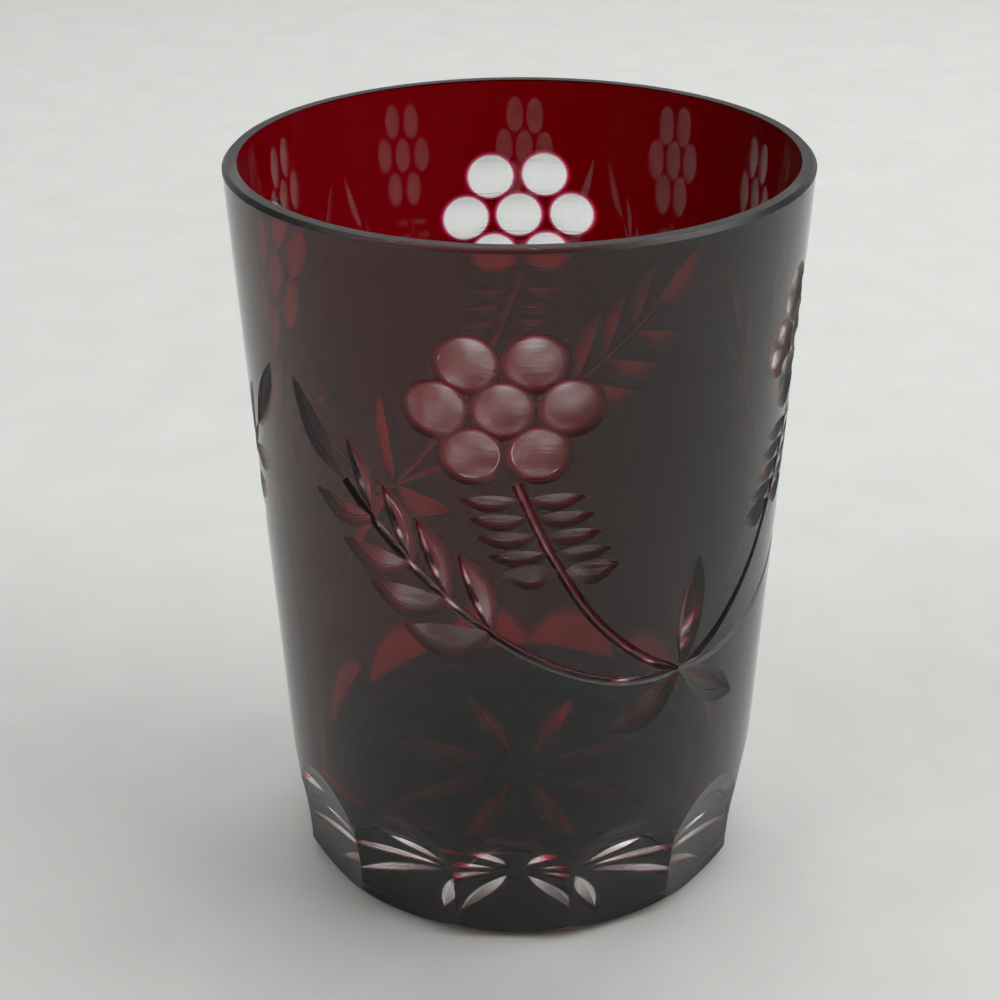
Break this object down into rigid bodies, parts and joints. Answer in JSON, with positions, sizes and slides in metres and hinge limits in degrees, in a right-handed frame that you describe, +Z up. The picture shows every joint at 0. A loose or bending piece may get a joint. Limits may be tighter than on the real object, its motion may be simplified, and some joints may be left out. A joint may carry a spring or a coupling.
{
  "type": "cut glass tumbler",
  "caption": "Straight-sided drinking tumbler of clear glass cased in ruby glass, cut through to clear with printie clusters, ferns, leafy branches, fluted foot and star base.",
  "frame": {"origin": "centre of the foot on the table", "axes": "+Z up through the middle of the mouth, -Y towards the flower that the picture shows in front, +X to its right"},
  "size_m": [0.0746, 0.0746, 0.1],
  "materials": {
    "clear_glass": "polished crystal",
    "ruby_glass": "polished, cut through to clear"
  },
  "bodies": {
    "root": {"clear_glass_body": "clear_glass", "ruby_glass_casing": "ruby_glass", "ruby_glass_base": "ruby_glass"}
  },
  "joints": []
}
